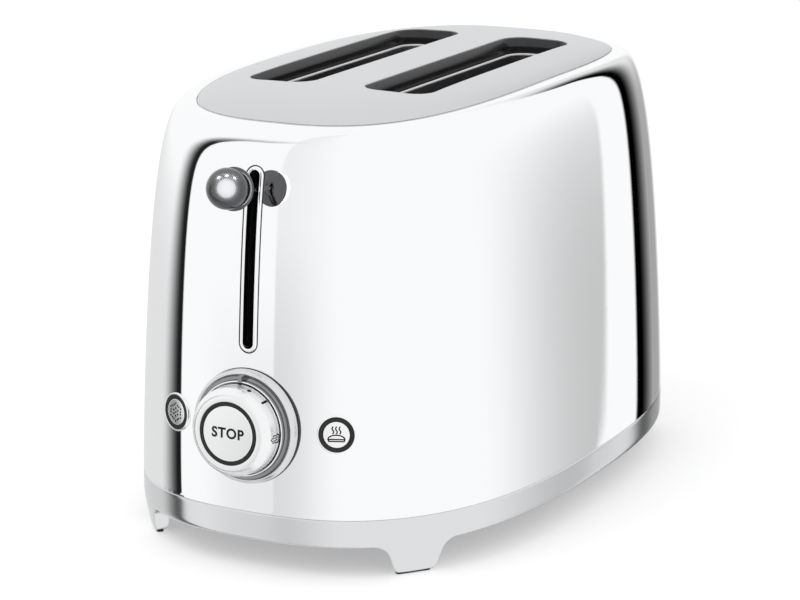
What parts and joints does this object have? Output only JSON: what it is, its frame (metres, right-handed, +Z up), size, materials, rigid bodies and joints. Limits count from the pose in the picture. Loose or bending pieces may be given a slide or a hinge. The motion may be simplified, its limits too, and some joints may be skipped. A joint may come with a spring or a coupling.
{
  "type": "toaster",
  "caption": "Long rounded plated-metal toaster with paired bread slots, ball lever carriage, rotary browning knob, push buttons, tilting bread guides and a rear crumb tray.",
  "frame": {"origin": "on the table plane under the middle of the body, midway between the four feet", "axes": "+Z up, +Y from the control end to the rear end, +X towards the long side that the picture shows"},
  "size_m": [0.1941, 0.3327, 0.1979],
  "materials": {
    "plated_shell": "mirror polished",
    "plated_trim": "mirror polished",
    "satin_plate": "fine satin",
    "satin_band": "satin",
    "satin_knob": "bright satin",
    "dark_ring": "smooth dark grey",
    "steel": "plain sheet",
    "rubber": "matt black",
    "black_plastic": "matt black",
    "pale_plastic": "plain",
    "circuit_board": "coated board",
    "copper_winding": "lacquered wire",
    "mica": "pressed mica sheet",
    "heating_ribbon": "dull alloy ribbon"
  },
  "bodies": {
    "housing": {"body_shell": "plated_shell", "top_plate": "satin_plate", "chamber_top_frame": "steel", "base_band": "satin_band", "foot_pads": "rubber", "base_pan": "black_plastic", "cord_grommet": "rubber", "base_screws": "steel", "front_end_plate": "steel", "rear_end_plate": "steel", "guide_pivots": "steel", "magnet_core": "steel", "magnet_coil": "copper_winding", "guide_rods": "steel", "lift_springs": "steel", "lever_slot_bezel": "plated_trim", "lever_guard": "black_plastic", "knob_bezel": "plated_trim", "control_frame": "black_plastic", "control_board": "circuit_board", "rotary_switch": "black_plastic", "press_switches": "black_plastic", "terminal_block": "pale_plastic", "slot_liner_left": "black_plastic", "slot_liner_right": "black_plastic", "reflector_left": "steel", "reflector_right": "steel", "defrost_ring": "dark_ring", "bun_ring": "dark_ring", "defrost_rim": "plated_trim", "bun_rim": "plated_trim", "heater_board_1": "mica", "heater_board_2": "mica", "heater_board_3": "mica", "heater_board_4": "mica", "heater_ribbon_1": "heating_ribbon", "heater_ribbon_2": "heating_ribbon", "heater_ribbon_3": "heating_ribbon", "heater_ribbon_4": "heating_ribbon"},
    "carriage": {"carriage_bracket": "steel", "lever_stem": "steel", "lever_ball": "plated_trim", "latch_armature": "steel", "bread_rack_left": "steel", "bread_rack_right": "steel"},
    "bread_guide_1": {"bread_guide_1": "steel"},
    "bread_guide_2": {"bread_guide_2": "steel"},
    "bread_guide_3": {"bread_guide_3": "steel"},
    "bread_guide_4": {"bread_guide_4": "steel"},
    "knob": {"browning_knob": "satin_knob", "knob_ring": "dark_ring"},
    "stop_button": {"stop_button": "satin_knob"},
    "defrost_button": {"defrost_button": "satin_knob"},
    "bun_button": {"bun_button": "satin_knob"},
    "crumb_tray": {"crumb_tray": "steel", "tray_handle": "satin_band"}
  },
  "joints": [
    {"name": "carriage_slide", "type": "slide", "parent": "housing", "child": "carriage", "axis": [0, 0, -1], "range_m": [0, 0.066], "stiffness_N_per_m": 60, "springref_m": -0.06, "deforming": ["lift_springs"]},
    {"name": "guide_tilt_1", "type": "hinge", "parent": "housing", "child": "bread_guide_1", "pos_m": [-0.04437, 0, 0.044], "axis": [0, 1, 0], "range_deg": [0, 3.05]},
    {"name": "guide_tilt_2", "type": "hinge", "parent": "housing", "child": "bread_guide_2", "pos_m": [-0.01337, 0, 0.044], "axis": [0, -1, 0], "range_deg": [0, 3.05]},
    {"name": "guide_tilt_3", "type": "hinge", "parent": "housing", "child": "bread_guide_3", "pos_m": [0.01337, 0, 0.044], "axis": [0, 1, 0], "range_deg": [0, 3.05]},
    {"name": "guide_tilt_4", "type": "hinge", "parent": "housing", "child": "bread_guide_4", "pos_m": [0.04437, 0, 0.044], "axis": [0, -1, 0], "range_deg": [0, 3.05]},
    {"name": "knob_turn", "type": "hinge", "parent": "housing", "child": "knob", "pos_m": [0, -0.1547, 0.064], "axis": [0, -0.999, 0.0452], "range_deg": [0, 270]},
    {"name": "stop_press", "type": "slide", "parent": "housing", "child": "stop_button", "axis": [0, 0.999, -0.0452], "range_m": [0, 0.0012], "stiffness_N_per_m": 600, "springref_m": -0.002},
    {"name": "defrost_press", "type": "slide", "parent": "housing", "child": "defrost_button", "axis": [0.3662, 0.9294, -0.045], "range_m": [0, 0.0012], "stiffness_N_per_m": 600, "springref_m": -0.002},
    {"name": "bun_press", "type": "slide", "parent": "housing", "child": "bun_button", "axis": [-0.3662, 0.9294, -0.045], "range_m": [0, 0.0012], "stiffness_N_per_m": 600, "springref_m": -0.002},
    {"name": "tray_slide", "type": "slide", "parent": "housing", "child": "crumb_tray", "axis": [0, 1, 0], "range_m": [0, 0.225]}
  ],
  "couplings": [
    {"joint": "guide_tilt_1", "follows": "carriage_slide", "rad_per_m": 0.79333},
    {"joint": "guide_tilt_2", "follows": "carriage_slide", "rad_per_m": 0.79333},
    {"joint": "guide_tilt_3", "follows": "carriage_slide", "rad_per_m": 0.79333},
    {"joint": "guide_tilt_4", "follows": "carriage_slide", "rad_per_m": 0.79333}
  ]
}
